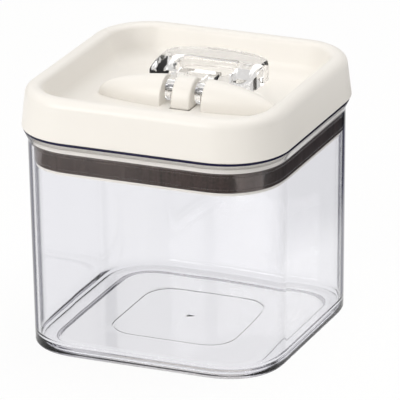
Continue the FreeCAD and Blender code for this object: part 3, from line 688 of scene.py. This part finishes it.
def card_finish(name):
    """Dark card that fades into the air at both ends, at the top and at the foot."""
    material, web = new_finish(name)
    run, height, _ = web.parts(web.node("ShaderNodeUVMap", {"uv_map": "sheet"}))
    ends_fade = web.rise(run * (1.0 - run) * 4.0, 0.0, 0.75)
    top_fade = web.rise(1.0 - height, 0.0, 0.30)
    low_fade = web.rise(height, 0.0, 0.25)
    dark = web.node("ShaderNodeEmission", {}, {"Color": (0.75, 0.8, 1.0, 1.0), "Strength": 0.04})
    open_air = web.node("ShaderNodeBsdfTransparent")
    web.finish(web.mix(ends_fade * top_fade * low_fade, open_air, dark))
    return material


def sheet_item(name, spots, material):
    """Flat sheet of the stage from its four corners, with a UV map from 0 to 1."""
    mesh = bpy.data.meshes.new(name)
    mesh.from_pydata(spots, [], [(0, 1, 2, 3)])
    layer = mesh.uv_layers.new(name="sheet")
    layer.data.foreach_set("uv", np.array((0, 0, 1, 0, 1, 1, 0, 1), dtype=np.float32))
    mesh.materials.append(material)
    item = bpy.data.objects.new(name, mesh)
    bpy.context.scene.collection.objects.link(item)
    return item


def set_paper(left=-0.9, right=0.9, front=-1.1, back=1.6, level=-0.0001):
    spots = [(left, front, level), (right, front, level), (right, back, level),
             (left, back, level)]
    sheet_item("paper", spots, paper_finish())


def set_card(name, start, end, tall=0.10):
    """Upright card beside the object, from one place on the paper to another.

    It shows only as a dark reflection in the object.
    """
    spots = [(*start, 0.0), (*end, 0.0), (*end, tall), (*start, tall)]
    card = sheet_item(name, spots, card_finish(name))
    card.visible_camera = False
    card.visible_diffuse = False
    card.visible_transmission = False
    card.visible_shadow = False


def set_world(scene):
    """White background, and round it a soft room whose walls are paler high up."""
    world = bpy.data.worlds.new("studio")
    world.use_nodes = True
    scene.world = world
    web = Web(world.node_tree)

    def sky(strength, tone=(1.0, 0.985, 0.965, 1.0)):
        return web.node("ShaderNodeBackground", {}, {"Color": tone, "Strength": strength})

    height = web.parts(web.node("ShaderNodeTexCoord", out="Generated"))[2]
    walls = web.mix(web.rise(height, 0.05, 0.55, "LINEAR"), sky(WALLS_LOW), sky(WALLS_HIGH))
    clear = web.ray("Is Transmission Ray") + web.ray("Is Glossy Ray")
    room = web.mix(clear, sky(ROOM_LIGHT), walls)
    mixed = web.mix(web.ray("Is Camera Ray"), room, sky(1.0, (1.0, 1.0, 1.0, 1.0)))
    web.node("ShaderNodeOutputWorld", {}, {"Surface": mixed}, out=None)


def set_lamp(name, place, power, wide, tall, tone=(1.0, 1.0, 1.0)):
    data = bpy.data.lights.new(name, "AREA")
    data.shape = "RECTANGLE"
    data.size = wide
    data.size_y = tall
    data.energy = power
    data.color = tone
    item = bpy.data.objects.new(name, data)
    bpy.context.scene.collection.objects.link(item)
    item.location = place
    item.rotation_euler = (Vector(LAMP_AIM) - Vector(place)).to_track_quat("-Z", "Y").to_euler()
    return item


def set_camera(scene):
    """Camera at the photograph's angle: turned and raised about its aim, then rolled."""
    data = bpy.data.cameras.new("photo_camera")
    data.sensor_width = 36.0
    data.lens = VIEW_LENS
    data.clip_end = 20.0
    camera = bpy.data.objects.new("photo_camera", data)
    scene.collection.objects.link(camera)
    back = Vector((math.sin(VIEW_TURN) * math.cos(VIEW_RISE),
                   -math.cos(VIEW_TURN) * math.cos(VIEW_RISE), math.sin(VIEW_RISE)))
    right = Vector((math.cos(VIEW_TURN), math.sin(VIEW_TURN), 0.0))
    up = back.cross(right)
    aim = Vector(VIEW_AIM) + right * VIEW_SLIDE
    turn = Matrix((right, up, back)).transposed().to_4x4()
    camera.matrix_world = (Matrix.Translation(aim + back * VIEW_FAR) @ turn
                           @ Matrix.Rotation(VIEW_ROLL, 4, "Z"))
    scene.camera = camera


class CANISTER_OT_stage(bpy.types.Operator):
    """Set the paper, the studio light and the camera"""

    bl_idname = "canister.stage"
    bl_label = "Stage"

    def execute(self, context):
        scene = context.scene
        scene.view_settings.view_transform = "Standard"
        set_paper()
        set_card("card_right", start=(0.143, -0.047), end=(0.044, 0.182))
        set_card("card_front", start=(-0.06, -0.16), end=(0.12, -0.16))
        set_world(scene)
        set_lamp("key", place=(-0.62, -1.15, 0.62), power=8.5, wide=0.7, tall=0.6,
                 tone=(1.0, 0.985, 0.96))
        top = set_lamp("top", place=(0.16, 0.20, 1.3), power=8.5, wide=1.0, tall=1.0)
        top.visible_glossy = False
        set_lamp("side", place=(0.80, -1.0, 0.4), power=0.9, wide=0.5, tall=0.8)
        set_camera(scene)
        return {"FINISHED"}


class CANISTER_PT_panel(bpy.types.Panel):
    """Lists the canister's finishes and steps"""

    bl_idname = "CANISTER_PT_panel"
    bl_label = "Clear Canister"
    bl_space_type = "VIEW_3D"
    bl_region_type = "UI"
    bl_category = "Canister"

    def draw(self, context):
        layout = self.layout
        looks = looks_of(context)
        for name in looks.__annotations__:
            layout.prop(looks, name)
        for step in STEPS:
            layout.operator(step.bl_idname)


STEPS = (CANISTER_OT_wall, CANISTER_OT_lip, CANISTER_OT_lid, CANISTER_OT_tongue,
         CANISTER_OT_seal, CANISTER_OT_handle, CANISTER_OT_fittings, CANISTER_OT_stage)
CLASSES = (CanisterLooks, *STEPS, CANISTER_PT_panel)


def register():
    for item in CLASSES:
        bpy.utils.register_class(item)
    bpy.types.Scene.canister_looks = PointerProperty(type=CanisterLooks)


def unregister():
    del bpy.types.Scene.canister_looks
    for item in reversed(CLASSES):
        bpy.utils.unregister_class(item)


def main():
    register()
    for step in STEPS:
        group, name = step.bl_idname.split(".")
        getattr(getattr(bpy.ops, group), name)()


if __name__ == "__main__":
    main()
